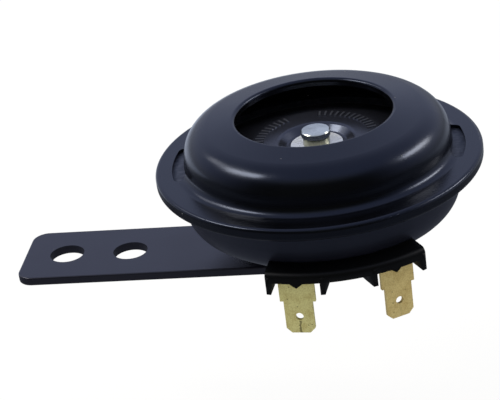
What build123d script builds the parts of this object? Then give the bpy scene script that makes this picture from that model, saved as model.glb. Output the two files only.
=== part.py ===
from build123d import *
import os
from math import cos, radians, sin, tan

os.makedirs("parts", exist_ok=True)

# A round electric horn on a strap bracket, in millimetres.
# The origin is the centre of the housing's back face, where the bracket seats on the stud.
# +Z points out of the front along the horn's axis, and the bracket runs along -X.

# ---------------------------------------------------------------- driving dimensions

# Housing bowl, pressed from sheet
housing_sheet = 0.7
housing_depth = 20.8
housing_radius = 31.0
housing_back_radius = 15.5
housing_cone_height = 10.8
housing_back_bend = 2.5
housing_shoulder_bend = 6.0
housing_flange_bend = 0.8
housing_flange_width = 4.7

# Front cover, pressed from sheet, hemmed round the housing's flange
cover_sheet = 0.7
cover_edge_bend = 0.8
cover_hem_width = 3.0
ring_inset = 1.1
ring_draft = 0.65
ring_height = 8.4
ring_root_bend = 2.2
ring_shoulder_bend = 6.6
opening_radius = 17.4
opening_rise = 2.0
opening_lip_bend = 0.8
opening_lip_depth = 1.8
slot_width = 2.8
slot_half_angle = 13.0
slot_angle = 4.0
rim_clearance = 0.1

# Diaphragm and its rim gaskets
diaphragm_sheet = 0.3
gasket_thickness = 0.2
gasket_width = 2.5
diaphragm_seat_radius = 6.6
diaphragm_seat_height = 2.9
diaphragm_seat_slope = 2.2
diaphragm_floor_rise = 1.6
diaphragm_slope_inset = 1.5
diaphragm_slope_width = 13.7
diaphragm_bend = 1.6

# Fastener in the middle of the diaphragm
rivet_shank_radius = 2.0
rivet_head_radius = 3.25
rivet_head_height = 1.3
rivet_head_chamfer = 0.2
rivet_groove_height = 0.4
rivet_groove_radius = 2.6
collar_radius = 3.0
collar_height = 1.6
front_washer_radius = 5.8
front_washer_thickness = 0.5
rear_washer_radius = 5.2
rear_washer_thickness = 0.5

# Magnet: armature, core, coil and yoke
air_gap = 0.7
core_radius = 5.8
core_height = 8.8
armature_radius = 5.5
armature_stem_radius = 4.0
armature_flange_radius = 7.0
armature_flange_height = 1.0
rivet_depth_in_armature = 4.5
bobbin_radius = 10.1
bobbin_flange = 0.9
bobbin_wall = 1.0
winding_margin = 0.6
yoke_sheet = 1.2
yoke_width = 13.0
yoke_bend = 0.8
yoke_tab_width = 5.0
yoke_tab_proud = 0.4
yoke_clearance = 0.3
pole_plate_thickness = 1.5
pole_plate_length = 38.0
pole_plate_arm_width = 14.0
pole_plate_corner = 2.0
pole_plate_margin = 1.0
pole_plate_rise = 2.0
magnet_clearance = 0.1

# Contact breaker
push_disc_radius = 8.0
push_disc_thickness = 1.0
leaf_thickness = 0.3
leaf_root_end = 18.2
leaf_root_width = 11.0
leaf_ring_radius = 9.0
leaf_ring_hole = 6.3
leaf_tongue_end = 13.8
leaf_tongue_width = 4.4
pip_radius = 0.8
pip_height = 0.5
pip_clearance = 0.1
pip_taper = 30.0
base_insulator_thickness = 1.6
base_insulator_length = 5.2
breaker_rivet_offset = 15.6
contact_rivet_offset = 16.6
stack_rivet_spacing = 7.0
stack_rivet_radius = 1.1
stack_rivet_head_radius = 1.5
stack_rivet_margin = 1.9
stack_rivet_head_height = 0.5
tag_thickness = 0.4
contact_plate_thickness = 0.8
contact_plate_start = 10.2
contact_plate_end = 19.2
contact_plate_width = 12.0
contact_plate_corner = 1.0
contact_offset = 12.0
contact_radius = 1.5
contact_height = 0.7
contact_shank_radius = 0.8
contact_tail_radius = 1.2
contact_tail_height = 0.3
contact_gap = 0.05
fine_clearance = 0.02

# Adjusting screw in its press nut
adjuster_offset = 12.3
adjuster_angle = -20.0
adjuster_radius = 1.5
adjuster_clearance = 0.05
adjuster_proud = 1.8
adjuster_slot_width = 0.7
adjuster_slot_depth = 0.9
press_nut_radius = 2.1
press_nut_flange_radius = 2.7
press_nut_flange = 0.6
press_nut_height = 3.0
adjuster_passage = 2.2

# Terminal block, moulded, and its two push-on blades
block_angle = -76.4
block_half_angle = 33.5
block_reach = 4.8
block_front = 11.4
block_plate_thickness = 2.3
block_edge_round = 1.2
block_clearance = 0.05
shroud_width = 12.7
shroud_height = 2.8
shroud_wall = 1.4
shroud_rib = 1.0
shroud_shift = -0.25
plug_half_angle = 28.3
plug_height = 2.3
plug_depth = 5.0
window_half_angle = 28.6
blade_turn = 18.5
blade_shift = 1.1
blade_offset = 0.1
blade_thickness = 0.8
blade_shoulder_width = 7.8
blade_shoulder_height = 8.0
blade_tab_width = 6.3
blade_tab_length = 7.7
blade_tip_chamfer = 1.15
blade_hole_radius = 0.875
blade_hole_from_tip = 4.0
blade_bend = 0.7
blade_relief_half_width = 1.9
blade_relief_drop = 4.3
blade_relief_point = 1.4
blade_foot_drop = 1.2
blade_foot_length = 8.5
blade_foot_neck_length = 3.7
blade_foot_width = 6.4
blade_foot_tail_width = 3.6
blade_eyelet_radius = 0.7
slot_clearance = 0.05

# Stud, bracket and its fasteners
stud_radius = 3.0
stud_hole_radius = 3.1
stud_chamfer = 0.5
stud_end_proud = 1.2
bracket_thickness = 2.0
bracket_width = 22.0
bracket_reach = 71.0
bracket_stud_end = 8.5
bracket_corner = 3.6
bracket_inner_corner = 5.0
bracket_edge_round = 0.35
bracket_hole_radius = 4.0
bracket_hole_spacing = 15.0
bracket_hole_from_end = 10.0
bracket_stud_hole_radius = 3.25
spring_washer_radius = 5.2
spring_washer_thickness = 1.2
spring_washer_split = 0.8
nut_across_flats = 10.0
nut_height = 4.0
nut_bore_radius = 3.05

# Internal leads, and the points that each passes on its way
lead_radius = 0.45
lead_bend_share = 0.45
lead_exit_height = 7.0
lead_tail = 1.0
coil_lead_points = [(-11.0, -11.5, 7.8), (-8.0, -17.5, 9.6)]
coil_lead_approach = (-1.5, 2.5)
contact_lead_rise = (1.2, 3.0, 1.0)
contact_lead_point = (18.5, -12.0, 15.0)
contact_lead_end = [(19.0, -8.0, 0.6), (18.0, -4.9, fine_clearance)]
breaker_lead_points = [(-12.0, 7.5, 8.6), (-15.0, 10.4, 12.4)]
breaker_lead_end = [(-16.8, 8.8), (-16.8, 4.9)]

# ---------------------------------------------------------------- radii that follow from them

housing_flange_radius = housing_radius + housing_flange_width
cover_radius = housing_flange_radius + rim_clearance + cover_sheet
ring_radius = housing_radius - ring_inset
gasket_inner_radius = housing_flange_radius - gasket_width
diaphragm_slope_radius = ring_radius - diaphragm_slope_inset
diaphragm_floor_radius = diaphragm_slope_radius - diaphragm_slope_width
block_radius = housing_radius + block_reach
plug_inner_radius = housing_radius - plug_depth
blade_face = housing_radius + blade_offset
blade_foot_end = blade_face - blade_foot_length
blade_foot_neck = blade_face - blade_foot_neck_length

# ---------------------------------------------------------------- heights along the axis

floor_inside = housing_sheet
rear_gasket_top = housing_depth + gasket_thickness
diaphragm_rim_top = rear_gasket_top + diaphragm_sheet
front_gasket_top = diaphragm_rim_top + gasket_thickness
rim_front = front_gasket_top + cover_sheet
hem_back = housing_depth - housing_sheet - cover_sheet

diaphragm_seat_top = diaphragm_rim_top + diaphragm_seat_height
front_washer_top = diaphragm_seat_top + front_washer_thickness
collar_top = front_washer_top + collar_height
rivet_head_bottom = collar_top + rivet_groove_height
rivet_top = rivet_head_bottom + rivet_head_height
rear_washer_bottom = diaphragm_seat_top - diaphragm_sheet - rear_washer_thickness

core_bottom = floor_inside + yoke_sheet
core_top = core_bottom + core_height
armature_bottom = core_top + air_gap
bobbin_bore = core_radius + magnet_clearance
bobbin_drum = bobbin_bore + bobbin_wall
yoke_arm_inner = bobbin_radius + yoke_clearance
yoke_arm_outer = yoke_arm_inner + yoke_sheet
pole_plate_bottom = core_top + pole_plate_rise
pole_plate_top = pole_plate_bottom + pole_plate_thickness
pole_plate_hole = armature_radius + air_gap

leaf_bottom = pole_plate_top + base_insulator_thickness
leaf_top = leaf_bottom + leaf_thickness
tag_top = leaf_top + tag_thickness
push_disc_bottom = leaf_top + pip_height + pip_clearance
push_disc_top = push_disc_bottom + push_disc_thickness
moving_contact_top = leaf_top + contact_height
fixed_contact_bottom = moving_contact_top + contact_gap
contact_plate_bottom = fixed_contact_bottom + contact_height
contact_plate_top = contact_plate_bottom + contact_plate_thickness
adjuster_top = contact_plate_bottom - adjuster_clearance
adjuster_place = (
    adjuster_offset * cos(radians(adjuster_angle)),
    adjuster_offset * sin(radians(adjuster_angle)),
)

block_plate_bottom = block_front - block_plate_thickness
shroud_bottom = block_plate_bottom - shroud_height
blade_foot_top = block_front - blade_foot_drop
blade_foot_bottom = blade_foot_top - blade_thickness
blade_shoulder_bottom = blade_foot_top - blade_shoulder_height
blade_tip = blade_shoulder_bottom - blade_tab_length

bracket_back = -bracket_thickness
spring_washer_back = bracket_back - spring_washer_thickness
nut_back = spring_washer_back - nut_height
stud_end = nut_back - stud_end_proud

# The outer line of the bowl, from the axis out and up to its flange
housing_corners = [
    (housing_back_radius, 0),
    (housing_radius, housing_cone_height),
]
housing_bends = [housing_back_bend, housing_shoulder_bend]


# ---------------------------------------------------------------- helpers


def finish(builder, name):
    """Names a finished piece and writes its file."""
    builder.part.label = name
    export_step(builder.part, f"parts/{name}.step")


def radial_plane(angle):
    """A section plane through the horn's axis: x runs outward at this angle, y runs up."""
    outward = Vector(cos(radians(angle)), sin(radians(angle)))
    return Plane(origin=(0, 0, 0), x_dir=outward, z_dir=(outward.Y, -outward.X, 0))


def sheet_section(points, bends, thickness, side):
    """The section of a formed sheet, from the line of one face and its thickness."""
    with BuildSketch(Plane.XZ) as section:
        with BuildLine():
            face_line = FilletPolyline(*points, radius=bends)
            offset(face_line, amount=thickness, side=side)
        make_face()
    return section.sketch


def flat_ring(name, outer, inner, bottom, top):
    """A plain ring about the horn's axis, such as a washer or a gasket."""
    with BuildPart() as ring:
        with BuildSketch(Plane.XY.offset(bottom)):
            Circle(outer)
            Circle(inner, mode=Mode.SUBTRACT)
        extrude(amount=top - bottom)
    finish(ring, name)


def terminal_frame(side):
    """Level plane at a terminal: x runs out along the blade's normal, y along its face."""
    turn = radians(block_angle + side * blade_turn)
    return Plane(origin=(0, 0, 0), x_dir=(cos(turn), sin(turn), 0), z_dir=(0, 0, 1))


def terminal_point(side, outward, height):
    """A point on the middle line of a terminal, in the part's own frame."""
    return terminal_frame(side).from_local_coords((outward, side * blade_shift, height))


# ---------------------------------------------------------------- housing and cover

with BuildPart() as housing:
    flange_back = housing_depth - housing_sheet
    housing_line = [
        (stud_hole_radius, 0),
        *housing_corners,
        (housing_radius, flange_back),
        (housing_flange_radius, flange_back),
    ]
    revolve(
        sheet_section(housing_line, housing_bends + [housing_flange_bend], housing_sheet, Side.LEFT),
        axis=Axis.Z,
    )
    # Window for the terminal block's plug
    with BuildSketch(radial_plane(block_angle - window_half_angle)):
        with Locations((plug_inner_radius, block_front - block_clearance)):
            Rectangle(
                housing_radius + housing_sheet - plug_inner_radius,
                plug_height,
                align=(Align.MIN, Align.MAX),
            )
    revolve(axis=Axis.Z, revolution_arc=2 * window_half_angle, mode=Mode.SUBTRACT)
    # Hole for the adjusting screw's press nut
    with BuildSketch(Plane.XY):
        with Locations(adjuster_place):
            Circle(press_nut_radius + adjuster_clearance)
    extrude(amount=housing_sheet * 2, both=True, mode=Mode.SUBTRACT)
finish(housing, "housing_bowl")

with BuildPart() as cover:
    ring_top_radius = ring_radius - ring_draft
    ring_top = rim_front + ring_height
    opening_front = ring_top + opening_rise
    cover_line = [
        (cover_radius - cover_hem_width, hem_back),
        (cover_radius, hem_back),
        (cover_radius, rim_front),
        (ring_radius, rim_front),
        (ring_top_radius, ring_top),
        (opening_radius, opening_front),
        (opening_radius, opening_front - opening_lip_depth),
    ]
    cover_bends = [
        cover_edge_bend,
        cover_edge_bend,
        ring_root_bend,
        ring_shoulder_bend,
        opening_lip_bend,
    ]
    revolve(sheet_section(cover_line, cover_bends, cover_sheet, Side.LEFT), axis=Axis.Z)
    # Two sound slots beside the ring, opposite each other
    for start in (slot_angle, slot_angle + 180):
        with BuildSketch(Plane.XY.offset(front_gasket_top)):
            with BuildLine(mode=Mode.PRIVATE) as slot_line:
                CenterArc(
                    (0, 0),
                    ring_radius + slot_width / 2,
                    start - slot_half_angle,
                    2 * slot_half_angle,
                )
            SlotArc(slot_line.edge(), slot_width)
        extrude(amount=cover_sheet + ring_root_bend, mode=Mode.SUBTRACT)
finish(cover, "front_cover")

# ---------------------------------------------------------------- diaphragm and gaskets

with BuildPart() as diaphragm:
    diaphragm_floor = diaphragm_seat_top + diaphragm_floor_rise
    diaphragm_line = [
        (rivet_shank_radius + fine_clearance, diaphragm_seat_top),
        (diaphragm_seat_radius, diaphragm_seat_top),
        (diaphragm_seat_radius + diaphragm_seat_slope, diaphragm_floor),
        (diaphragm_floor_radius, diaphragm_floor),
        (diaphragm_slope_radius, diaphragm_rim_top),
        (housing_flange_radius, diaphragm_rim_top),
    ]
    revolve(
        sheet_section(diaphragm_line, diaphragm_bend, diaphragm_sheet, Side.RIGHT), axis=Axis.Z
    )
finish(diaphragm, "diaphragm")

flat_ring("rear_gasket", housing_flange_radius, gasket_inner_radius, housing_depth, rear_gasket_top)
flat_ring(
    "front_gasket", housing_flange_radius, gasket_inner_radius, diaphragm_rim_top, front_gasket_top
)

# ---------------------------------------------------------------- centre fastener and armature

shank_hole = rivet_shank_radius + fine_clearance
flat_ring("front_washer", front_washer_radius, shank_hole, diaphragm_seat_top, front_washer_top)
flat_ring(
    "rear_washer",
    rear_washer_radius,
    shank_hole,
    rear_washer_bottom,
    rear_washer_bottom + rear_washer_thickness,
)
flat_ring("rivet_collar", collar_radius, shank_hole, front_washer_top, collar_top)

with BuildPart() as centre_rivet:
    rivet_bottom = rear_washer_bottom - rivet_depth_in_armature
    with BuildSketch(Plane.XY.offset(rivet_bottom)):
        Circle(rivet_shank_radius)
    extrude(amount=collar_top - rivet_bottom)
    with BuildSketch(Plane.XY.offset(collar_top)):
        Circle(rivet_groove_radius)
    extrude(amount=rivet_groove_height)
    with BuildSketch(Plane.XY.offset(rivet_head_bottom)):
        Circle(rivet_head_radius)
    extrude(amount=rivet_head_height)
    head_rim = centre_rivet.edges().filter_by(GeomType.CIRCLE).sort_by(Axis.Z)[-1]
    chamfer(head_rim, length=rivet_head_chamfer)
finish(centre_rivet, "centre_rivet")

with BuildPart() as armature:
    with BuildSketch(Plane.XY.offset(armature_bottom)):
        Circle(armature_radius)
    extrude(amount=push_disc_top - armature_bottom)
    with BuildSketch(Plane.XY.offset(push_disc_top)):
        Circle(armature_flange_radius)
    extrude(amount=armature_flange_height)
    with BuildSketch(Plane.XY.offset(push_disc_top + armature_flange_height)):
        Circle(armature_stem_radius)
    extrude(amount=rear_washer_bottom - push_disc_top - armature_flange_height)
    with BuildSketch(Plane.XY.offset(rivet_bottom - fine_clearance)):
        Circle(shank_hole)
    extrude(amount=rear_washer_bottom - rivet_bottom + fine_clearance, mode=Mode.SUBTRACT)
finish(armature, "armature")

flat_ring(
    "push_disc", push_disc_radius, armature_radius + fine_clearance, push_disc_bottom, push_disc_top
)

# ---------------------------------------------------------------- core, coil and yoke

with BuildPart() as core:
    with BuildSketch(Plane.XY.offset(stud_end)):
        Circle(stud_radius)
    extrude(amount=core_bottom - stud_end)
    chamfer(core.edges().group_by(Axis.Z)[0], length=stud_chamfer)
    with BuildSketch(Plane.XY.offset(core_bottom)):
        Circle(core_radius)
    extrude(amount=core_height)
    chamfer(core.edges().group_by(Axis.Z)[-1], length=stud_chamfer)
finish(core, "core_stud")

with BuildPart() as bobbin:
    bobbin_height = pole_plate_bottom - core_bottom
    with BuildSketch(Plane.XY.offset(core_bottom)):
        Circle(bobbin_drum)
    extrude(amount=bobbin_height)
    for flange_bottom in (core_bottom, pole_plate_bottom - bobbin_flange):
        with BuildSketch(Plane.XY.offset(flange_bottom)):
            Circle(bobbin_radius)
        extrude(amount=bobbin_flange)
    with BuildSketch(Plane.XY.offset(core_bottom)):
        Circle(bobbin_bore)
    extrude(amount=bobbin_height, mode=Mode.SUBTRACT)
finish(bobbin, "coil_bobbin")

winding_radius = bobbin_radius - winding_margin
flat_ring(
    "coil_winding",
    winding_radius,
    bobbin_drum,
    core_bottom + bobbin_flange,
    pole_plate_bottom - bobbin_flange,
)

with BuildPart() as yoke:
    yoke_arm_places = [(0, yoke_arm_inner + yoke_sheet / 2), (0, -yoke_arm_inner - yoke_sheet / 2)]
    with BuildSketch(Plane.XY.offset(floor_inside)):
        Rectangle(yoke_width, 2 * yoke_arm_outer)
    extrude(amount=yoke_sheet)
    with BuildSketch(Plane.XY.offset(floor_inside)):
        with Locations(*yoke_arm_places):
            Rectangle(yoke_width, yoke_sheet)
    extrude(amount=pole_plate_bottom - floor_inside)
    fillet(yoke.edges().filter_by(Axis.X).group_by(Axis.Z)[0], radius=yoke_bend)
    with BuildSketch(Plane.XY.offset(pole_plate_bottom)):
        with Locations(*yoke_arm_places):
            Rectangle(yoke_tab_width, yoke_sheet)
    extrude(amount=pole_plate_thickness + yoke_tab_proud)
    with BuildSketch(Plane.XY.offset(floor_inside)):
        Circle(stud_hole_radius)
    extrude(amount=yoke_sheet, mode=Mode.SUBTRACT)
finish(yoke, "yoke_frame")

rivet_rows = {
    row: [(offset, side * stack_rivet_spacing / 2) for side in (-1, 1)]
    for row, offset in (("breaker", -breaker_rivet_offset), ("contact", contact_rivet_offset))
}
rivet_hole = stack_rivet_radius + fine_clearance

with BuildPart() as pole_plate:
    with BuildSketch(Plane.XY.offset(pole_plate_bottom)) as pole_outline:
        Rectangle(pole_plate_length, pole_plate_arm_width)
        Rectangle(
            yoke_width + 2 * pole_plate_margin, 2 * (yoke_arm_outer + pole_plate_margin)
        )
        fillet(pole_outline.vertices(), radius=pole_plate_corner)
        Circle(pole_plate_hole, mode=Mode.SUBTRACT)
        with Locations(*yoke_arm_places):
            Rectangle(
                yoke_tab_width + 2 * magnet_clearance,
                yoke_sheet + 2 * magnet_clearance,
                mode=Mode.SUBTRACT,
            )
        with Locations(*rivet_rows["breaker"], *rivet_rows["contact"]):
            Circle(rivet_hole, mode=Mode.SUBTRACT)
        with Locations(adjuster_place):
            Circle(adjuster_passage, mode=Mode.SUBTRACT)
    extrude(amount=pole_plate_thickness)
finish(pole_plate, "pole_plate")

# ---------------------------------------------------------------- contact breaker

leaf_root_start = leaf_root_end - base_insulator_length


def drilled_pad(name, near, far, width, bottom, top, holes):
    """A rectangular pad of a contact stack, from one x to another, drilled for its rivets."""
    with BuildPart() as pad:
        with BuildSketch(Plane.XY.offset(bottom)):
            with Locations(((near + far) / 2, 0)):
                Rectangle(abs(far - near), width)
            with Locations(*holes):
                Circle(rivet_hole, mode=Mode.SUBTRACT)
        extrude(amount=top - bottom)
    finish(pad, name)


drilled_pad(
    "breaker_insulator",
    -leaf_root_end,
    -leaf_root_start,
    leaf_root_width,
    pole_plate_top,
    leaf_bottom,
    rivet_rows["breaker"],
)
drilled_pad(
    "breaker_tag",
    -leaf_root_end,
    -leaf_root_start,
    leaf_root_width,
    leaf_top,
    tag_top,
    rivet_rows["breaker"],
)
drilled_pad(
    "contact_spacer",
    contact_rivet_offset - stack_rivet_margin,
    contact_plate_end,
    contact_plate_width,
    pole_plate_top,
    contact_plate_bottom,
    rivet_rows["contact"],
)

with BuildPart() as leaf:
    with BuildSketch(Plane.XY.offset(leaf_bottom)):
        with Locations((-leaf_root_end, 0)):
            Rectangle(leaf_root_end, leaf_root_width, align=(Align.MIN, Align.CENTER))
        Circle(leaf_ring_radius)
        Rectangle(leaf_tongue_end, leaf_tongue_width, align=(Align.MIN, Align.CENTER))
        Circle(leaf_ring_hole, mode=Mode.SUBTRACT)
        with Locations(*rivet_rows["breaker"]):
            Circle(rivet_hole, mode=Mode.SUBTRACT)
        with Locations((contact_offset, 0)):
            Circle(contact_shank_radius + fine_clearance, mode=Mode.SUBTRACT)
    extrude(amount=leaf_thickness)
    # Two pips under the push disc
    pip_offset = (leaf_ring_hole + leaf_ring_radius) / 2
    with BuildSketch(Plane.XY.offset(leaf_top)):
        with Locations((0, pip_offset), (0, -pip_offset)):
            Circle(pip_radius)
    extrude(amount=pip_height, taper=pip_taper)
finish(leaf, "breaker_leaf")


def contact_button(name, face, seat, tail):
    """A riveted contact: its head from the seat to the face, its tail closed past the sheet."""
    inward = 1 if tail > seat else -1
    with BuildPart() as button:
        with BuildSketch(Plane.XY.offset(min(face, seat))):
            with Locations((contact_offset, 0)):
                Circle(contact_radius)
        extrude(amount=abs(seat - face))
        with BuildSketch(Plane.XY.offset(min(seat, tail))):
            with Locations((contact_offset, 0)):
                Circle(contact_shank_radius)
        extrude(amount=abs(tail - seat))
        with BuildSketch(Plane.XY.offset(tail)):
            with Locations((contact_offset, 0)):
                Circle(contact_tail_radius)
        extrude(amount=inward * contact_tail_height)
    finish(button, name)


contact_button("moving_contact", moving_contact_top, leaf_top, leaf_bottom)
contact_button("fixed_contact", fixed_contact_bottom, contact_plate_bottom, contact_plate_top)

with BuildPart() as contact_plate:
    with BuildSketch(Plane.XY.offset(contact_plate_bottom)) as contact_outline:
        with Locations((contact_plate_start, 0)):
            Rectangle(
                contact_plate_end - contact_plate_start,
                contact_plate_width,
                align=(Align.MIN, Align.CENTER),
            )
        fillet(contact_outline.vertices(), radius=contact_plate_corner)
        with Locations(*rivet_rows["contact"]):
            Circle(rivet_hole, mode=Mode.SUBTRACT)
        with Locations((contact_offset, 0)):
            Circle(contact_shank_radius + fine_clearance, mode=Mode.SUBTRACT)
    extrude(amount=contact_plate_thickness)
finish(contact_plate, "contact_plate")

for row, top in (("breaker", tag_top), ("contact", contact_plate_top)):
    with BuildPart() as stack_rivets:
        with BuildSketch(Plane.XY.offset(pole_plate_bottom)):
            with Locations(*rivet_rows[row]):
                Circle(stack_rivet_radius)
        extrude(amount=top - pole_plate_bottom)
        for head_bottom in (pole_plate_bottom - stack_rivet_head_height, top):
            with BuildSketch(Plane.XY.offset(head_bottom)):
                with Locations(*rivet_rows[row]):
                    Circle(stack_rivet_head_radius)
            extrude(amount=stack_rivet_head_height)
    finish(stack_rivets, f"{row}_rivets")

# ---------------------------------------------------------------- adjusting screw

with BuildPart() as press_nut:
    with BuildSketch(Plane.XY.offset(-press_nut_flange)):
        with Locations(adjuster_place):
            Circle(press_nut_flange_radius)
    extrude(amount=press_nut_flange)
    with BuildSketch(Plane.XY):
        with Locations(adjuster_place):
            Circle(press_nut_radius)
    extrude(amount=press_nut_height)
    with BuildSketch(Plane.XY.offset(-press_nut_flange)):
        with Locations(adjuster_place):
            Circle(adjuster_radius + adjuster_clearance)
    extrude(amount=press_nut_flange + press_nut_height, mode=Mode.SUBTRACT)
finish(press_nut, "adjuster_press_nut")

with BuildPart() as adjuster:
    with BuildSketch(Plane.XY.offset(-adjuster_proud)):
        with Locations(adjuster_place):
            Circle(adjuster_radius)
    extrude(amount=adjuster_top + adjuster_proud)
    with BuildSketch(Plane.XY.offset(-adjuster_proud)):
        with Locations(adjuster_place):
            Rectangle(adjuster_slot_width, 4 * adjuster_radius)
    extrude(amount=adjuster_slot_depth, mode=Mode.SUBTRACT)
finish(adjuster, "adjusting_screw")

# ---------------------------------------------------------------- terminal block and blades

with BuildPart() as block:
    # Curved plate that follows the housing
    with BuildSketch(radial_plane(block_angle - block_half_angle)) as plate_section:
        with Locations((plug_inner_radius, block_front)):
            Rectangle(
                block_radius - plug_inner_radius, block_plate_thickness, align=(Align.MIN, Align.MAX)
            )
        front_corner = plate_section.vertices().sort_by(Axis.X)[-2:].sort_by(Axis.Y)[-1]
        fillet(front_corner, radius=block_edge_round)
    revolve(axis=Axis.Z, revolution_arc=2 * block_half_angle)
    # A shroud round the root of each blade: a back wall between two ribs
    back_wall_outer = blade_face - blade_thickness - block_clearance
    back_wall_inner = back_wall_outer - shroud_wall
    rib_offset = (shroud_width - shroud_rib) / 2
    for side in (-1, 1):
        with BuildSketch(terminal_frame(side).offset(shroud_bottom)):
            with Locations((back_wall_inner, shroud_shift)):
                Rectangle(shroud_wall, shroud_width, align=(Align.MIN, Align.CENTER))
            for along in (shroud_shift - rib_offset, shroud_shift + rib_offset):
                with Locations((back_wall_inner, along)):
                    Rectangle(
                        block_radius - back_wall_inner, shroud_rib, align=(Align.MIN, Align.CENTER)
                    )
        extrude(amount=shroud_height + block_plate_thickness / 2)
        # The plate ends flush with the outer rib
        with BuildSketch(terminal_frame(side).offset(shroud_bottom)):
            with Locations((block_radius, shroud_shift + side * (shroud_width + block_radius) / 2)):
                Rectangle(2 * block_radius, block_radius)
        extrude(amount=block_front - shroud_bottom, mode=Mode.SUBTRACT)
    # Flush with the plate's curved front, and clear of the housing
    with BuildSketch(Plane.XY.offset(shroud_bottom)):
        Circle(2 * block_radius)
        Circle(block_radius, mode=Mode.SUBTRACT)
    extrude(amount=block_front - shroud_bottom, mode=Mode.SUBTRACT)
    with BuildSketch(Plane.XZ) as housing_envelope:
        with BuildLine():
            envelope_line = FilletPolyline(
                (0, 0),
                *[(r + block_clearance, z) for r, z in housing_corners],
                (housing_radius + block_clearance, housing_depth),
                radius=housing_bends,
            )
            Polyline(envelope_line @ 1, (0, housing_depth), (0, 0))
        make_face()
    revolve(axis=Axis.Z, mode=Mode.SUBTRACT)
    # Plug that fills the housing's window
    with BuildSketch(radial_plane(block_angle - plug_half_angle)):
        with Locations((plug_inner_radius, block_front - 2 * block_clearance)):
            Rectangle(
                back_wall_outer - plug_inner_radius,
                plug_height - 2 * block_clearance,
                align=(Align.MIN, Align.MAX),
            )
    revolve(axis=Axis.Z, revolution_arc=2 * plug_half_angle)
    # Slots for the blades' feet and shoulders
    for side in (-1, 1):
        with BuildSketch(terminal_frame(side).offset(blade_foot_bottom - slot_clearance)):
            with Locations((blade_face + slot_clearance, side * blade_shift)):
                Rectangle(
                    blade_face - blade_foot_end,
                    blade_foot_width + 2 * slot_clearance,
                    align=(Align.MAX, Align.CENTER),
                )
        extrude(amount=blade_thickness + 2 * slot_clearance, mode=Mode.SUBTRACT)
        with BuildSketch(terminal_frame(side).offset(block_plate_bottom)):
            with Locations((blade_face + slot_clearance, side * blade_shift)):
                Rectangle(
                    blade_thickness + 2 * slot_clearance,
                    blade_shoulder_width + 2 * slot_clearance,
                    align=(Align.MAX, Align.CENTER),
                )
        extrude(
            amount=blade_foot_top + slot_clearance - block_plate_bottom, mode=Mode.SUBTRACT
        )
finish(block, "terminal_block")

for side, name in ((-1, "terminal_left"), (1, "terminal_right")):
    level = terminal_frame(side)
    blade_plane = Plane(
        origin=terminal_point(side, blade_face, 0), x_dir=level.y_dir, z_dir=level.x_dir
    )
    shoulder = blade_shoulder_width / 2
    tab = blade_tab_width / 2
    relief_bottom = blade_foot_top - blade_relief_drop
    with BuildPart() as terminal:
        with BuildSketch(blade_plane) as blade_outline:
            with BuildLine():
                Polyline(
                    (-shoulder, blade_foot_top),
                    (-shoulder, blade_shoulder_bottom),
                    (-tab, blade_shoulder_bottom),
                    (-tab, blade_tip),
                    (tab, blade_tip),
                    (tab, blade_shoulder_bottom),
                    (shoulder, blade_shoulder_bottom),
                    (shoulder, blade_foot_top),
                    close=True,
                )
            make_face()
            chamfer(blade_outline.vertices().group_by(Axis.Y)[0], length=blade_tip_chamfer)
            with Locations((0, blade_tip + blade_hole_from_tip)):
                Circle(blade_hole_radius, mode=Mode.SUBTRACT)
        extrude(amount=-blade_thickness)
        # Foot that passes through the block into the housing
        with BuildSketch(level.offset(blade_foot_bottom)):
            with Locations((blade_face, side * blade_shift)):
                Rectangle(
                    blade_face - blade_foot_neck, blade_foot_width, align=(Align.MAX, Align.CENTER)
                )
                Rectangle(
                    blade_face - blade_foot_end,
                    blade_foot_tail_width,
                    align=(Align.MAX, Align.CENTER),
                )
            with Locations((blade_foot_end + 2 * blade_eyelet_radius, side * blade_shift)):
                Circle(blade_eyelet_radius, mode=Mode.SUBTRACT)
        extrude(amount=blade_thickness)
        bend_edge = terminal.edges().filter_by(
            lambda edge: edge.length > blade_tab_width
            and abs(edge.center().Z - blade_foot_top) < fine_clearance
            and abs(level.to_local_coords(edge.center()).X - blade_face) < fine_clearance
        )
        fillet(bend_edge, radius=blade_bend)
        # Relief opening across the bend, with a pointed lower end
        with BuildSketch(blade_plane):
            with BuildLine():
                Polyline(
                    (0, relief_bottom),
                    (blade_relief_half_width, relief_bottom + blade_relief_point),
                    (blade_relief_half_width, blade_foot_top + blade_bend),
                    (-blade_relief_half_width, blade_foot_top + blade_bend),
                    (-blade_relief_half_width, relief_bottom + blade_relief_point),
                    close=True,
                )
            make_face()
        extrude(amount=-2 * blade_thickness, mode=Mode.SUBTRACT)
    finish(terminal, name)

# ---------------------------------------------------------------- bracket and its fasteners

with BuildPart() as bracket:
    with BuildSketch(Plane.XY.offset(bracket_back)) as bracket_outline:
        with Locations((-bracket_reach, 0)):
            Rectangle(
                bracket_reach + bracket_stud_end, bracket_width, align=(Align.MIN, Align.CENTER)
            )
        fillet(bracket_outline.vertices().group_by(Axis.X)[0], radius=bracket_corner)
        fillet(bracket_outline.vertices().group_by(Axis.X)[-1], radius=bracket_inner_corner)
        first_hole = -bracket_reach + bracket_hole_from_end
        with Locations((first_hole, 0), (first_hole + bracket_hole_spacing, 0)):
            Circle(bracket_hole_radius, mode=Mode.SUBTRACT)
        Circle(bracket_stud_hole_radius, mode=Mode.SUBTRACT)
    extrude(amount=bracket_thickness)
    outer_rims = [
        rim for face in bracket.faces().filter_by(Axis.Z) for rim in face.outer_wire().edges()
    ]
    fillet(outer_rims, radius=bracket_edge_round)
finish(bracket, "strap_bracket")

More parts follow.
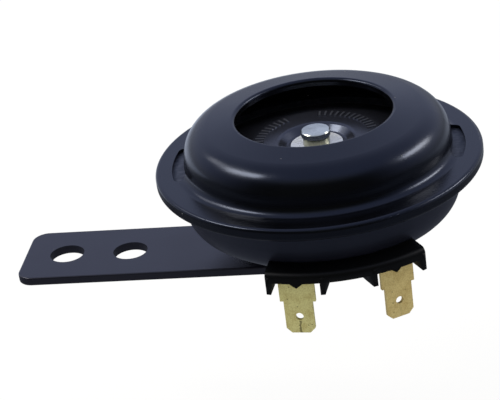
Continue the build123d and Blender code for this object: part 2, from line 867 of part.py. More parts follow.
with BuildPart() as spring_washer:
    with BuildSketch(Plane.XY.offset(spring_washer_back)):
        Circle(spring_washer_radius)
        Circle(stud_hole_radius, mode=Mode.SUBTRACT)
        with Locations((0, -spring_washer_radius)):
            Rectangle(
                spring_washer_split,
                spring_washer_radius,
                align=(Align.CENTER, Align.MIN),
                mode=Mode.SUBTRACT,
            )
    extrude(amount=spring_washer_thickness)
finish(spring_washer, "spring_washer")

with BuildPart() as nut:
    with BuildSketch(Plane.XY.offset(nut_back)):
        RegularPolygon(radius=nut_across_flats / 2, side_count=6, major_radius=False)
    extrude(amount=nut_height)
    # Both faces are turned down at the corners
    with BuildSketch(Plane.XZ) as nut_chamfer:
        with BuildLine():
            corner = nut_across_flats / 2 / cos(radians(30))
            flat = nut_across_flats / 2
            slope = (corner - flat) * tan(radians(30))
            Polyline(
                (0, nut_back),
                (flat, nut_back),
                (corner, nut_back + slope),
                (corner, spring_washer_back - slope),
                (flat, spring_washer_back),
                (0, spring_washer_back),
                close=True,
            )
        make_face()
    revolve(axis=Axis.Z, mode=Mode.INTERSECT)
    with BuildSketch(Plane.XY.offset(nut_back)):
        Circle(nut_bore_radius)
    extrude(amount=nut_height, mode=Mode.SUBTRACT)
finish(nut, "stud_nut")

# ---------------------------------------------------------------- leads inside the housing


def bend_radii(points):
    """The largest bends that a lead's runs allow."""
    radii = []
    for before, here, after in zip(points, points[1:], points[2:]):
        arriving = Vector(*here) - Vector(*before)
        leaving = Vector(*after) - Vector(*here)
        half_turn = radians(arriving.get_angle(leaving)) / 2
        radii.append(lead_bend_share * min(arriving.length, leaving.length) / tan(half_turn))
    return radii


def insulated_lead(name, points):
    """A lead of round section along its route."""
    with BuildPart() as lead:
        with BuildLine() as route:
            FilletPolyline(*points, radius=bend_radii(points))
        with BuildSketch(Plane(origin=route.line @ 0, z_dir=route.line % 0)):
            Circle(lead_radius)
        sweep()
    finish(lead, name)


winding_side = winding_radius + lead_radius + magnet_clearance
lead_seat = blade_foot_top + lead_radius + fine_clearance
left_eyelet = terminal_point(-1, blade_foot_end + 2 * blade_eyelet_radius, lead_seat)
right_eyelet = terminal_point(1, blade_foot_end + 2 * blade_eyelet_radius, lead_seat)

insulated_lead(
    "coil_lead",
    [
        (-0.80 * winding_side, -0.60 * winding_side, lead_exit_height),
        *coil_lead_points,
        (left_eyelet.X + coil_lead_approach[0], left_eyelet.Y + coil_lead_approach[1], lead_seat),
        (left_eyelet.X, left_eyelet.Y - lead_tail, lead_seat),
    ],
)
insulated_lead(
    "contact_lead",
    [
        (right_eyelet.X, right_eyelet.Y - lead_tail, lead_seat),
        right_eyelet + Vector(*contact_lead_rise),
        contact_lead_point,
        *[(x, y, contact_plate_top + lead_radius + gap) for x, y, gap in contact_lead_end],
    ],
)
insulated_lead(
    "breaker_lead",
    [
        (-0.86 * winding_side, 0.50 * winding_side, lead_exit_height),
        *breaker_lead_points,
        *[(x, y, tag_top + lead_radius + fine_clearance) for x, y in breaker_lead_end],
    ],
)
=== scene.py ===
from math import cos, pi, radians, sin

import bmesh
import bpy
from mathutils import Matrix, Vector


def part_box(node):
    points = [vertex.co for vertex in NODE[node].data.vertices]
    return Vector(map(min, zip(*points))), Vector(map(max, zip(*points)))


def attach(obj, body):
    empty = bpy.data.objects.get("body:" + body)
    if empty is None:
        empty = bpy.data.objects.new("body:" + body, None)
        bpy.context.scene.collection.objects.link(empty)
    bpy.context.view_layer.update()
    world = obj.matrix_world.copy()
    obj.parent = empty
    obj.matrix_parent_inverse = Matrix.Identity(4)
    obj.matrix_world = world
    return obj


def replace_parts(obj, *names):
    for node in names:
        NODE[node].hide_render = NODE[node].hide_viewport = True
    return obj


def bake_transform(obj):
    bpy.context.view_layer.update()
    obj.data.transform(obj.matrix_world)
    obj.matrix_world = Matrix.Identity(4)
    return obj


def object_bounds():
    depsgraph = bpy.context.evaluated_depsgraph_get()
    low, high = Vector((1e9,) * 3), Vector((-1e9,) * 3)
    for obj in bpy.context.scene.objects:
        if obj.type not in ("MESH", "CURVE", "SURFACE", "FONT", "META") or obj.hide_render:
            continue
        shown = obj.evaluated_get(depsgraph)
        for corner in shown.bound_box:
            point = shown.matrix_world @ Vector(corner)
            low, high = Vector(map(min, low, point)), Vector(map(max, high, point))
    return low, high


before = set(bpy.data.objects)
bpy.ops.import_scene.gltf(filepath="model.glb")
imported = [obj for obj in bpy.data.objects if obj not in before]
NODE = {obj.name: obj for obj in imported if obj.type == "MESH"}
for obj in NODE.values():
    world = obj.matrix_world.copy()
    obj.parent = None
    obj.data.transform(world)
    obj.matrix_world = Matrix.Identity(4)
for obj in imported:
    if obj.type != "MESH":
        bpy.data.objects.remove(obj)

bl_info = {
    "name": "Disc Horn",
    "version": (1, 0, 0),
    "blender": (4, 5, 0),
    "location": "View3D > Sidebar > Horn",
    "description": "Finishes the pieces of an electric disc horn and sets its stage",
    "category": "Object",
}

CAD_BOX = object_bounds()
MM = 0.001
WELD = 0.001 * MM
SHARP_ANGLE = radians(35)
WHITE = (1.0, 1.0, 1.0, 1.0)

# The diaphragm's pressed profile: radii, depths and widths in millimetres, arcs in degrees.
DISC_SEGMENTS = 120
SHEET = 0.3
HOLE_RADIUS = 2.02
SEAT_RADIUS = 6.8
SEAT_DEPTH = 1.6
SLOPE_RADIUS = 8.4
TICK_RADII = (11.7, 14.0)
TICK_ARCS = ((14, 96), (122, 196), (234, 330))
TICK_INSET = 0.22
FLOOR_RADIUS = 14.7
RIM_RADIUS = 28.4
BENDS = (((SEAT_RADIUS,), 0.3), ((SLOPE_RADIUS,), 0.45), ((FLOOR_RADIUS, RIM_RADIUS), 0.4))
BEND_SEGMENTS = 6
DUSTY_RIM = (28.0 * MM, 29.0 * MM)

# The breaker's leaf is cut across over this length from its root, in this many steps.
LEAF_BEND = 2.4 * MM
LEAF_CUTS = 6

WIRE_PITCH = 0.4 * MM

# The V relief in each blade, and the moulded key that fills it. Outlines run across the blade
# and up the axis, and spans are distances from the axis, all in millimetres.
RELIEF = ((0.0, 5.3), (1.95, 6.75), (1.95, 7.6), (-1.95, 7.6), (-1.95, 6.75))
RELIEF_SPAN = (30.0, 32.0)
KEY = ((0.0, 5.36), (1.85, 6.75), (1.85, 9.6), (-1.85, 9.6), (-1.85, 6.75))
KEY_SPAN = (30.35, 31.05)

# Each terminal: node, setting that holds its colour, turn round the axis in degrees, offset of
# its middle line in millimetres, and strength of the stain under its hole.
TERMINALS = (
    ("terminal_left", "left_blade", -94.9, -1.1, 0.85),
    ("terminal_right", "right_blade", -57.9, 1.1, 0.15),
)
TARNISH = (0.74, 0.69, 0.6)

# Each softbox: name, azimuth, elevation and roll in degrees, width and height in metres, setting
# that holds its radiance, and its share of that radiance.
SOFTBOXES = (
    ("left_softbox", -95, 50, 35, 0.38, 0.18, "left_strength", 1.0),
    ("left_reflector", -68, 40, 30, 0.34, 0.15, "left_strength", 0.2),
    ("right_softbox", 71, 32, -25, 0.44, 0.14, "right_strength", 1.0),
)
SOFTBOX_DISTANCE = 0.9
SOFTBOX_COLOUR = (1.0, 0.95, 0.86)

# The camera's place in metres, its axes, and its lens in millimetres.
CAMERA_PLACE = (0.05306, -0.38810, 0.20798)
CAMERA_RIGHT = (0.98599, 0.11665, -0.11919)
CAMERA_DOWN = (-0.05294, -0.45880, -0.88696)
CAMERA_FORWARD = (-0.15815, 0.88085, -0.44620)
SENSOR_WIDTH = 36.0
LENS_LENGTH = 140.4
FLOOR_REACH = 3.0


# ---------------------------------------------------------------- node trees


def feed(tree, socket, source):
    """Joins a socket to its source, or sets it to a value."""
    if isinstance(source, bpy.types.NodeSocket):
        tree.links.new(source, socket)
    else:
        socket.default_value = source


def join(tree, kind, sockets=None, **settings):
    """Adds a node with its settings, and joins or sets its sockets. Gives its outputs."""
    made = tree.nodes.new(kind)
    for name, value in settings.items():
        setattr(made, name, value)
    for name, source in (sockets or {}).items():
        feed(tree, made.inputs[name], source)
    return made.outputs


def arithmetic(tree, operation, first, second=0.0, clamp=False):
    """One sum on two values."""
    return join(
        tree, "ShaderNodeMath", {0: first, 1: second}, operation=operation, use_clamp=clamp
    )[0]


def blend_colours(tree, share, first, second):
    """Mixes two colours."""
    mixed = join(
        tree, "ShaderNodeMix", {0: share, 6: first, 7: second}, data_type="RGBA", clamp_factor=True
    )
    return mixed[2]


def ramp(tree, value, low, high, at_low=0.0, at_high=1.0):
    """Eases from one value to another as the input crosses a range."""
    return join(
        tree,
        "ShaderNodeMapRange",
        {0: value, 1: low, 2: high, 3: at_low, 4: at_high},
        interpolation_type="SMOOTHSTEP",
    )[0]


def axis_distance(tree, parts):
    """The distance from the Z axis, from a vector's separate parts."""
    squares = [arithmetic(tree, "MULTIPLY", parts[i], parts[i]) for i in (0, 1)]
    return arithmetic(tree, "SQRT", arithmetic(tree, "ADD", *squares))


def start_group(name, inputs, outputs):
    """Starts a shader node group with named sockets, and gives its tree and its inputs."""
    group = bpy.data.node_groups.new(name, "ShaderNodeTree")
    for label, default in inputs.items():
        kind = "NodeSocketFloat"
        if label == "Vector":
            kind = "NodeSocketVector"
        elif "Color" in label:
            kind = "NodeSocketColor"
        socket = group.interface.new_socket(label, in_out="INPUT", socket_type=kind)
        if default is not None:
            socket.default_value = default
    for label in outputs:
        kind = "NodeSocketColor" if "Color" in label else "NodeSocketFloat"
        group.interface.new_socket(label, in_out="OUTPUT", socket_type=kind)
    return group, group.nodes.new("NodeGroupInput").outputs


def end_group(group, results):
    """Joins the results to a group's outputs."""
    end = group.nodes.new("NodeGroupOutput")
    for label, source in results.items():
        group.links.new(source, end.inputs[label])
    return group


def specks_group():
    """Sparse grains of dust."""
    group, given = start_group(
        "Dust Grains", {"Vector": None, "Spacing": 400.0, "Size": 0.06, "Amount": 0.08}, ["Mask"]
    )
    cells = join(
        group, "ShaderNodeTexVoronoi", {"Vector": given["Vector"], "Scale": given["Spacing"]}
    )
    near = arithmetic(group, "LESS_THAN", cells["Distance"], given["Size"])
    chance = join(group, "ShaderNodeSeparateColor", {0: cells["Color"]})[0]
    kept = arithmetic(group, "LESS_THAN", chance, given["Amount"])
    return end_group(group, {"Mask": arithmetic(group, "MULTIPLY", near, kept)})


def mottle_group():
    """A soft cloud over a fine grain, for colour, roughness and height."""
    group, given = start_group(
        "Mottle", {"Vector": None, "Cloud Scale": 60.0, "Grain Scale": 2500.0}, ["Cloud", "Grain"]
    )
    cloud = join(
        group,
        "ShaderNodeTexNoise",
        {"Vector": given["Vector"], "Scale": given["Cloud Scale"], "Detail": 4.0},
    )
    grain = join(
        group,
        "ShaderNodeTexNoise",
        {"Vector": given["Vector"], "Scale": given["Grain Scale"], "Detail": 2.0},
    )
    return end_group(group, {"Cloud": cloud[0], "Grain": grain[0]})


def scratches_group():
    """Fine scratches that run along the vector's Y axis."""
    group, given = start_group(
        "Scratches", {"Vector": None, "Scale": 600.0, "Length": 14.0, "Amount": 0.5}, ["Mask"]
    )
    parts = join(group, "ShaderNodeSeparateXYZ", {0: given["Vector"]})
    along = arithmetic(group, "DIVIDE", parts[1], given["Length"])
    stretched = join(group, "ShaderNodeCombineXYZ", {0: parts[0], 1: along, 2: parts[2]})[0]
    lines = join(
        group,
        "ShaderNodeTexNoise",
        {"Vector": stretched, "Scale": given["Scale"], "Detail": 3.0, "Roughness": 0.7},
    )[0]
    edge = arithmetic(group, "SUBTRACT", 0.78, arithmetic(group, "MULTIPLY", given["Amount"], 0.3))
    top = arithmetic(group, "ADD", edge, 0.12)
    mask = join(group, "ShaderNodeMapRange", {0: lines, 1: edge, 2: top})[0]
    return end_group(group, {"Mask": mask})


def turned_group():
    """Rings left by a lathe round the Z axis."""
    group, given = start_group("Turned Rings", {"Vector": None, "Rings": 30000.0}, ["Height"])
    parts = join(group, "ShaderNodeSeparateXYZ", {0: given["Vector"]})
    radius = axis_distance(group, parts)
    wave = arithmetic(group, "SINE", arithmetic(group, "MULTIPLY", radius, given["Rings"]))
    return end_group(group, {"Height": wave})


def use_group(tree, name, **sockets):
    """Places a shared group in a material, with its own values."""
    made = tree.nodes.new("ShaderNodeGroup")
    made.node_tree = bpy.data.node_groups[name]
    for label, source in sockets.items():
        feed(tree, made.inputs[label.replace("_", " ")], source)
    return made.outputs


def start_material(name, **constants):
    """A material with its Principled BSDF, and the constants that go straight on its sockets."""
    material = bpy.data.materials.new(name)
    material.use_nodes = True
    tree = material.node_tree
    shader = tree.nodes["Principled BSDF"]
    for label, value in constants.items():
        shader.inputs[label.replace("_", " ")].default_value = value
    place = join(tree, "ShaderNodeTexCoord")["Object"]
    return material, tree, shader, place


def set_bump(tree, shader, height, distance, strength=1.0):
    """Feeds a height into the shader's normal. The distance is in metres."""
    bump = join(
        tree, "ShaderNodeBump", {"Height": height, "Distance": distance, "Strength": strength}
    )
    tree.links.new(bump[0], shader.inputs["Normal"])


def rgba(colour):
    """A colour with full alpha."""
    return (*colour, 1.0)


# ---------------------------------------------------------------- finishes


def enamel(name, base, roughness, grain=1.0, dust=0.05, tint=(0.62, 0.72, 1.0), level=0.5):
    """Stoved enamel on pressed steel: a fine orange peel, soft clouds and grains of dust."""
    material, tree, shader, place = start_material(
        name, IOR=1.52, Specular_Tint=rgba(tint), Specular_IOR_Level=level
    )
    mottle = use_group(tree, "Mottle", Vector=place, Cloud_Scale=70.0, Grain_Scale=2200.0)
    dark = rgba([c * 0.7 for c in base])
    light = rgba([c * 1.4 for c in base])
    colour = blend_colours(tree, mottle["Cloud"], dark, light)
    specks = use_group(tree, "Dust Grains", Vector=place, Amount=dust)
    colour = blend_colours(tree, specks["Mask"], colour, rgba((0.15, 0.15, 0.15)))
    tree.links.new(colour, shader.inputs["Base Color"])
    rough = ramp(tree, mottle["Cloud"], 0.3, 0.7, roughness - 0.03, roughness + 0.04)
    rough = arithmetic(tree, "ADD", rough, arithmetic(tree, "MULTIPLY", specks["Mask"], 0.5))
    tree.links.new(rough, shader.inputs["Roughness"])
    grains = arithmetic(tree, "MULTIPLY", specks["Mask"], 4.0)
    height = arithmetic(tree, "ADD", mottle["Grain"], grains)
    set_bump(tree, shader, height, 0.006 * MM * grain)
    return material


def sheet_paint(name, base, dust, crest):
    """Paint on the diaphragm: lighter above the crest's height, a painted highlight on the tick
    tops, and dusty and dull round the rim.
    """
    material = enamel(name, base, 0.23, grain=1.4, dust=dust, level=0.75)
    tree = material.node_tree
    shader = tree.nodes["Principled BSDF"]
    place = join(tree, "ShaderNodeTexCoord")["Object"]
    parts = join(tree, "ShaderNodeSeparateXYZ", {0: place})
    rim = ramp(tree, axis_distance(tree, parts), *DUSTY_RIM)
    paint = shader.inputs["Base Color"].links[0].from_socket
    # The tick tops above the crest's height get a lighter colour: a painted highlight.
    tick_highlight = ramp(tree, parts[2], crest + 0.1 * MM, crest + 0.2 * MM)
    paint = blend_colours(tree, tick_highlight, paint, (0.055, 0.058, 0.072, 1))
    grime = join(
        tree, "ShaderNodeTexNoise", {"Vector": place, "Scale": 900.0, "Detail": 4.0}
    )[0]
    dull = blend_colours(
        tree, ramp(tree, grime, 0.35, 0.7), (0.018, 0.021, 0.032, 1), (0.05, 0.056, 0.08, 1)
    )
    tree.links.new(blend_colours(tree, rim, paint, dull), shader.inputs["Base Color"])
    smooth = shader.inputs["Roughness"].links[0].from_socket
    rough = join(tree, "ShaderNodeMix", {0: rim, 2: smooth, 3: 0.62}, data_type="FLOAT")[0]
    tree.links.new(rough, shader.inputs["Roughness"])
    return material


def worked_metal(name, base, dark, roughness, scratches=0.5, turned=0.0, metallic=1.0):
    """Plain or plated metal: mottled, lightly scratched and, where it was turned, ringed."""
    material, tree, shader, place = start_material(name, Metallic=metallic)
    mottle = use_group(tree, "Mottle", Vector=place, Cloud_Scale=260.0, Grain_Scale=5200.0)
    marks = use_group(tree, "Scratches", Vector=place, Amount=scratches)
    share = ramp(tree, mottle["Cloud"], 0.35, 0.75)
    colour = blend_colours(tree, share, rgba(base), rgba(dark))
    tree.links.new(colour, shader.inputs["Base Color"])
    rough = ramp(tree, mottle["Cloud"], 0.3, 0.75, roughness - 0.05, roughness + 0.1)
    rough = arithmetic(tree, "ADD", rough, arithmetic(tree, "MULTIPLY", marks["Mask"], 0.12))
    tree.links.new(rough, shader.inputs["Roughness"])
    height = arithmetic(tree, "SUBTRACT", mottle["Grain"], marks["Mask"])
    if turned:
        rings = use_group(tree, "Turned Rings", Vector=place)
        rings = arithmetic(tree, "MULTIPLY", rings["Height"], turned)
        height = arithmetic(tree, "ADD", height, rings)
    set_bump(tree, shader, height, 0.004 * MM)
    return material


def tarnished_brass(name, base, dark, turn, middle, stain):
    """Stamped brass strip: tarnished in clouds, pitted, and stained under its hole."""
    material, tree, shader, place = start_material(name, Metallic=0.55)
    mottle = use_group(tree, "Mottle", Vector=place, Cloud_Scale=520.0, Grain_Scale=3200.0)
    own_axes = join(
        tree,
        "ShaderNodeMapping",
        {"Vector": place, "Rotation": (0, 0, radians(turn))},
        vector_type="TEXTURE",
    )[0]
    marks = use_group(tree, "Scratches", Vector=place, Scale=900.0, Amount=0.6)
    share = ramp(tree, mottle["Cloud"], 0.4, 0.75, 0.0, 0.7)
    fine = ramp(tree, mottle["Grain"], 0.35, 0.7, 0.0, 0.6)
    share = arithmetic(tree, "ADD", share, fine, clamp=True)
    colour = blend_colours(tree, share, rgba(base), rgba(dark))
    pits = use_group(tree, "Dust Grains", Vector=place, Spacing=1500.0, Size=0.2, Amount=0.12)
    colour = blend_colours(tree, pits["Mask"], colour, rgba([c * 0.45 for c in dark]))
    parts = join(tree, "ShaderNodeSeparateXYZ", {0: own_axes})
    wander = arithmetic(tree, "SUBTRACT", mottle["Cloud"], 0.5)
    wander = arithmetic(tree, "MULTIPLY", wander, 1.6 * MM)
    across = arithmetic(tree, "SUBTRACT", arithmetic(tree, "ADD", parts[1], wander), middle)
    across = arithmetic(tree, "ABSOLUTE", across)
    line = ramp(tree, across, 0.08 * MM, 0.35 * MM, 1.0, 0.0)
    below = ramp(tree, parts[2], -2.7 * MM, -2.4 * MM, 1.0, 0.0)
    streak = arithmetic(tree, "MULTIPLY", line, below)
    streak = arithmetic(tree, "MULTIPLY", streak, stain)
    colour = blend_colours(tree, streak, colour, rgba([c * 0.3 for c in dark]))
    tree.links.new(colour, shader.inputs["Base Color"])
    rough = ramp(tree, mottle["Cloud"], 0.3, 0.75, 0.4, 0.52)
    tree.links.new(rough, shader.inputs["Roughness"])
    height = arithmetic(tree, "SUBTRACT", mottle["Grain"], pits["Mask"])
    height = arithmetic(tree, "SUBTRACT", height, marks["Mask"])
    set_bump(tree, shader, height, 0.007 * MM)
    return material


def plain_solid(name, base, roughness, cloud=120.0, grain=3000.0, depth=0.01 * MM, shine=0.5):
    """A moulded, paper or rubber piece: clouded colour over a fine grain."""
    material, tree, shader, place = start_material(name, IOR=1.5, Specular_IOR_Level=shine)
    mottle = use_group(tree, "Mottle", Vector=place, Cloud_Scale=cloud, Grain_Scale=grain)
    dark = rgba([c * 0.75 for c in base])
    light = rgba([c * 1.3 for c in base])
    tree.links.new(blend_colours(tree, mottle["Cloud"], dark, light), shader.inputs["Base Color"])
    rough = ramp(tree, mottle["Cloud"], 0.3, 0.75, roughness - 0.05, roughness + 0.08)
    tree.links.new(rough, shader.inputs["Roughness"])
    set_bump(tree, shader, mottle["Grain"], depth)
    return material


def wound_wire(name, base):
    """Enamelled wire wound in close turns, darker in the grooves between them as painted shade."""
    material, tree, shader, place = start_material(name, Metallic=0.6, Roughness=0.35)
    height = join(tree, "ShaderNodeSeparateXYZ", {0: place})[2]
    wave = arithmetic(tree, "SINE", arithmetic(tree, "MULTIPLY", height, 2 * pi / WIRE_PITCH))
    # The grooves between turns get a darker colour: painted shade.
    share = ramp(tree, wave, -1.0, 1.0)
    colour = blend_colours(tree, share, rgba([c * 0.4 for c in base]), rgba(base))
    tree.links.new(colour, shader.inputs["Base Color"])
    set_bump(tree, shader, wave, 0.08 * MM)
    return material


# ---------------------------------------------------------------- pieces


def finish_node(node, material):
    """Gives a CAD node its finish."""
    slots = NODE[node].data.materials
    slots.clear()
    slots.append(material)


def place_mesh(bm, name):
    """Turns a bmesh into an object of the scene."""
    mesh = bpy.data.meshes.new(name)
    bm.to_mesh(mesh)
    bm.free()
    placed = bpy.data.objects.new(name, mesh)
    bpy.context.scene.collection.objects.link(placed)
    return placed


def finish_mesh(bm, name, material, body):
    """Turns a bmesh into a piece that rides on a body."""
    piece = place_mesh(bm, name)
    piece.data.shade_smooth()
    piece.data.set_sharp_from_angle(angle=SHARP_ANGLE)
    piece.data.materials.append(material)
    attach(piece, body)
    return piece


def profile(bm, points):
    """A chain of edges in the XZ plane, in millimetres."""
    chain = [bm.verts.new((x * MM, 0, z * MM)) for x, z in points]
    for first, second in zip(chain, chain[1:]):
        bm.edges.new((first, second))


def spin_all(bm, steps):
    """Spins everything once round the Z axis."""
    bmesh.ops.spin(
        bm,
        geom=bm.verts[:] + bm.edges[:],
        cent=(0, 0, 0),
        axis=(0, 0, 1),
        angle=2 * pi,
        steps=steps,
        use_merge=True,
    )
    bmesh.ops.remove_doubles(bm, verts=bm.verts, dist=0.01 * MM)
    bmesh.ops.recalc_face_normals(bm, faces=bm.faces)


def prism(outline, middle, span, turn):
    """A prism along a terminal's own X axis, from its outline in Y and Z, in millimetres."""
    bm = bmesh.new()
    for x in span:
        bm.faces.new([bm.verts.new((x * MM, (middle + y) * MM, z * MM)) for y, z in outline])
    near, far = [list(face.verts) for face in bm.faces]
    for i in range(len(outline)):
        bm.faces.new((near[i - 1], near[i], far[i], far[i - 1]))
    bmesh.ops.rotate(bm, verts=bm.verts, matrix=Matrix.Rotation(radians(turn), 3, "Z"))
    bmesh.ops.recalc_face_normals(bm, faces=bm.faces)
    return place_mesh(bm, "prism")


def shaped(node, tools, operation):
    """A copy of a CAD node's mesh, cut by or joined with some solids, which are then removed."""
    blank = bpy.data.objects.new("blank", NODE[node].data.copy())
    bpy.context.scene.collection.objects.link(blank)
    bm = bmesh.new()
    bm.from_mesh(blank.data)
    bmesh.ops.remove_doubles(bm, verts=bm.verts, dist=WELD)
    bm.to_mesh(blank.data)
    bm.free()
    for tool in tools:
        step = blank.modifiers.new("step", "BOOLEAN")
        step.operation = operation
        step.solver = "EXACT"
        step.object = tool
    bm = bmesh.new()
    bm.from_object(blank, bpy.context.evaluated_depsgraph_get())
    for made in (*tools, blank):
        bpy.data.objects.remove(made)
    bmesh.ops.recalc_face_normals(bm, faces=bm.faces)
    return bm


def radius_of(point):
    """A point's distance from the horn's axis, in millimetres."""
    return point.to_2d().length / MM


def ring_edges(bm, radii):
    """The edges that lie along circles of the given radii, in millimetres."""
    found = []
    for edge in bm.edges:
        reach = [radius_of(vert.co) for vert in edge.verts]
        if abs(reach[0] - reach[1]) < 0.001 and min(abs(reach[0] - r) for r in radii) < 0.01:
            found.append(edge)
    return found


# ---------------------------------------------------------------- settings


class PaintSettings(bpy.types.PropertyGroup):
    """The black finishes."""

    shell: bpy.props.FloatVectorProperty(
        name="Cover",
        description="Colour of the enamel on the front cover",
        subtype="COLOR",
        default=(0.0008, 0.0008, 0.0011),
    )
    bowl: bpy.props.FloatVectorProperty(
        name="Bowl",
        description="Colour of the paint on the housing",
        subtype="COLOR",
        default=(0.0088, 0.0097, 0.0160),
    )
    shell_roughness: bpy.props.FloatProperty(
        name="Cover roughness",
        description="How much the cover's enamel spreads a reflection",
        default=0.22,
        min=0.05,
        max=1.0,
        subtype="FACTOR",
    )
    diaphragm: bpy.props.FloatVectorProperty(
        name="Diaphragm",
        description="Colour of the paint on the diaphragm",
        subtype="COLOR",
        default=(0.018, 0.019, 0.026),
    )
    bracket: bpy.props.FloatVectorProperty(
        name="Bracket",
        description="Colour of the paint on the strap",
        subtype="COLOR",
        default=(0.0040, 0.0038, 0.008),
    )
    dust: bpy.props.FloatProperty(
        name="Dust",
        description="Share of the places that hold a grain of dust",
        default=0.12,
        min=0.0,
        max=1.0,
        subtype="FACTOR",
    )


class MetalSettings(bpy.types.PropertyGroup):
    """The bare and plated metals."""

    zinc: bpy.props.FloatVectorProperty(
        name="Zinc",
        description="Colour of the plated steel",
        subtype="COLOR",
        default=(0.76, 0.79, 0.72),
    )
    brass: bpy.props.FloatVectorProperty(
        name="Brass",
        description="Colour of the collar round the rivet",
        subtype="COLOR",
        default=(0.42, 0.42, 0.32),
    )
    left_blade: bpy.props.FloatVectorProperty(
        name="Left blade",
        description="Colour of the left terminal",
        subtype="COLOR",
        default=(0.91, 0.85, 0.37),
    )
    right_blade: bpy.props.FloatVectorProperty(
        name="Right blade",
        description="Colour of the right terminal",
        subtype="COLOR",
        default=(0.88, 0.71, 0.30),
    )


class DiaphragmSettings(bpy.types.PropertyGroup):
    """The marks pressed into the diaphragm."""

    tick_height: bpy.props.FloatProperty(
        name="Tick height",
        description="How far each tick stands up from the sheet",
        default=0.26 * MM,
        min=0.0,
        unit="LENGTH",
    )
    tick_step: bpy.props.IntProperty(
        name="Tick step",
        description="Segments of the disc from one tick to the next",
        default=2,
        min=2,
    )


class StageSettings(bpy.types.PropertyGroup):
    """The floor and the light."""

    floor_drop: bpy.props.FloatProperty(
        name="Floor drop",
        description="Distance from the lowest point of the horn down to the floor",
        default=40 * MM,
        min=0.0,
        unit="LENGTH",
    )
    left_strength: bpy.props.FloatProperty(
        name="Left softbox", description="Radiance of the left softbox", default=11.4, min=0.0
    )
    right_strength: bpy.props.FloatProperty(
        name="Right softbox", description="Radiance of the right softbox", default=11.4, min=0.0
    )


# ---------------------------------------------------------------- operators


class HORN_OT_shell(bpy.types.Operator):
    """Enamels the housing and its hemmed cover"""

    bl_idname = "horn.shell"
    bl_label = "Housing and cover"

    def execute(self, context):
        paint = context.scene.horn_paint
        gloss = enamel("cover_enamel", paint.shell, paint.shell_roughness, dust=paint.dust)
        matt = enamel("bowl_paint", paint.bowl, 0.3, grain=1.4, dust=paint.dust)
        finish_node("front_cover", gloss)
        finish_node("housing_bowl", matt)
        return {"FINISHED"}


class HORN_OT_diaphragm(bpy.types.Operator):
    """Presses the diaphragm, with its sunk seat and three arcs of plain ticks"""

    bl_idname = "horn.diaphragm"
    bl_label = "Diaphragm"

    def execute(self, context):
        paint = context.scene.horn_paint
        marks = context.scene.horn_diaphragm
        low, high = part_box("diaphragm")
        skin = sheet_paint("diaphragm_paint", paint.diaphragm, paint.dust, high.z)
        floor = high.z / MM
        seat = floor - SEAT_DEPTH
        rim = low.z / MM + SHEET
        bm = bmesh.new()
        points = [(HOLE_RADIUS, seat), (SEAT_RADIUS, seat), (SLOPE_RADIUS, floor)]
        points += [(r, floor) for r in (*TICK_RADII, FLOOR_RADIUS)]
        points += [(RIM_RADIUS, rim), (high.x / MM, rim)]
        profile(bm, points)
        spin_all(bm, DISC_SEGMENTS)
        for radii, reach in BENDS:
            bmesh.ops.bevel(
                bm,
                geom=ring_edges(bm, radii),
                offset=reach * MM,
                segments=BEND_SEGMENTS,
                profile=0.5,
                affect="EDGES",
                material=-1,
            )
        chosen = [face for face in bm.faces if self.is_tick(face, marks.tick_step)]
        bmesh.ops.inset_individual(bm, faces=chosen, thickness=TICK_INSET * MM)
        raised = {vert for face in chosen for vert in face.verts}
        bmesh.ops.translate(bm, verts=list(raised), vec=(0, 0, marks.tick_height))
        bmesh.ops.recalc_face_normals(bm, faces=bm.faces)
        if sum(face.normal.z for face in bm.faces) < 0:
            bmesh.ops.reverse_faces(bm, faces=bm.faces)
        bmesh.ops.solidify(bm, geom=bm.faces[:], thickness=SHEET * MM)
        piece = finish_mesh(bm, "diaphragm_sheet", skin, "housing")
        piece.parent = None
        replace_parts(piece, "diaphragm")
        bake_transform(piece)
        return {"FINISHED"}

    def is_tick(self, face, step):
        """Whether a face of the disc becomes a tick."""
        centre = face.calc_center_median()
        angle = centre.to_2d().angle_signed(Vector((1, 0))) * 180 / pi % 360
        in_arc = any(start < angle < end for start, end in TICK_ARCS)
        in_ring = TICK_RADII[0] < radius_of(centre) < TICK_RADII[1]
        return in_arc and in_ring and int(angle * DISC_SEGMENTS // 360) % step == 0


class HORN_OT_gaskets(bpy.types.Operator):
    """Finishes the two rim gaskets in oiled paper"""

    bl_idname = "horn.gaskets"
    bl_label = "Gaskets"

    def execute(self, context):
        paper = plain_solid("oiled_paper", (0.10, 0.085, 0.06), 0.7, 200.0, 1800.0, 0.00003)
        for node in ("rear_gasket", "front_gasket"):
            finish_node(node, paper)
        return {"FINISHED"}


class HORN_OT_centre_fastener(bpy.types.Operator):
    """Finishes the rivet, its collar and its washers"""

    bl_idname = "horn.centre_fastener"
    bl_label = "Centre fastener"

    def execute(self, context):
        metal = context.scene.horn_metal
        zinc = worked_metal(
            "bright_zinc", metal.zinc, [c * 0.7 for c in metal.zinc], 0.2, turned=0.8
        )
        brass = worked_metal(
            "collar_brass", metal.brass, [c * 0.8 for c in metal.brass], 0.24, turned=0.5
        )
        pale = worked_metal(
            "washer_zinc", (0.93, 0.96, 1.0), (0.82, 0.86, 0.94), 0.26, metallic=0.45
        )
        finish_node("centre_rivet", zinc)
        for node in ("front_washer", "rear_washer"):
            finish_node(node, pale)
        finish_node("rivet_collar", brass)
        return {"FINISHED"}


class HORN_OT_magnet(bpy.types.Operator):
    """Finishes the armature, the core, the coil and the yoke"""

    bl_idname = "horn.magnet"
    bl_label = "Magnet"

    def execute(self, context):
        iron = worked_metal("soft_iron", (0.42, 0.42, 0.43), (0.25, 0.24, 0.24), 0.4)
        nylon = plain_solid("bobbin_nylon", (0.35, 0.17, 0.08), 0.45)
        for node in ("armature", "yoke_frame", "pole_plate"):
            finish_node(node, iron)
        finish_node("push_disc", plain_solid("push_disc_phenolic", (0.28, 0.13, 0.06), 0.5))
        finish_node("coil_bobbin", nylon)
        finish_node("coil_winding", wound_wire("copper_winding", (0.55, 0.22, 0.09)))
        return {"FINISHED"}


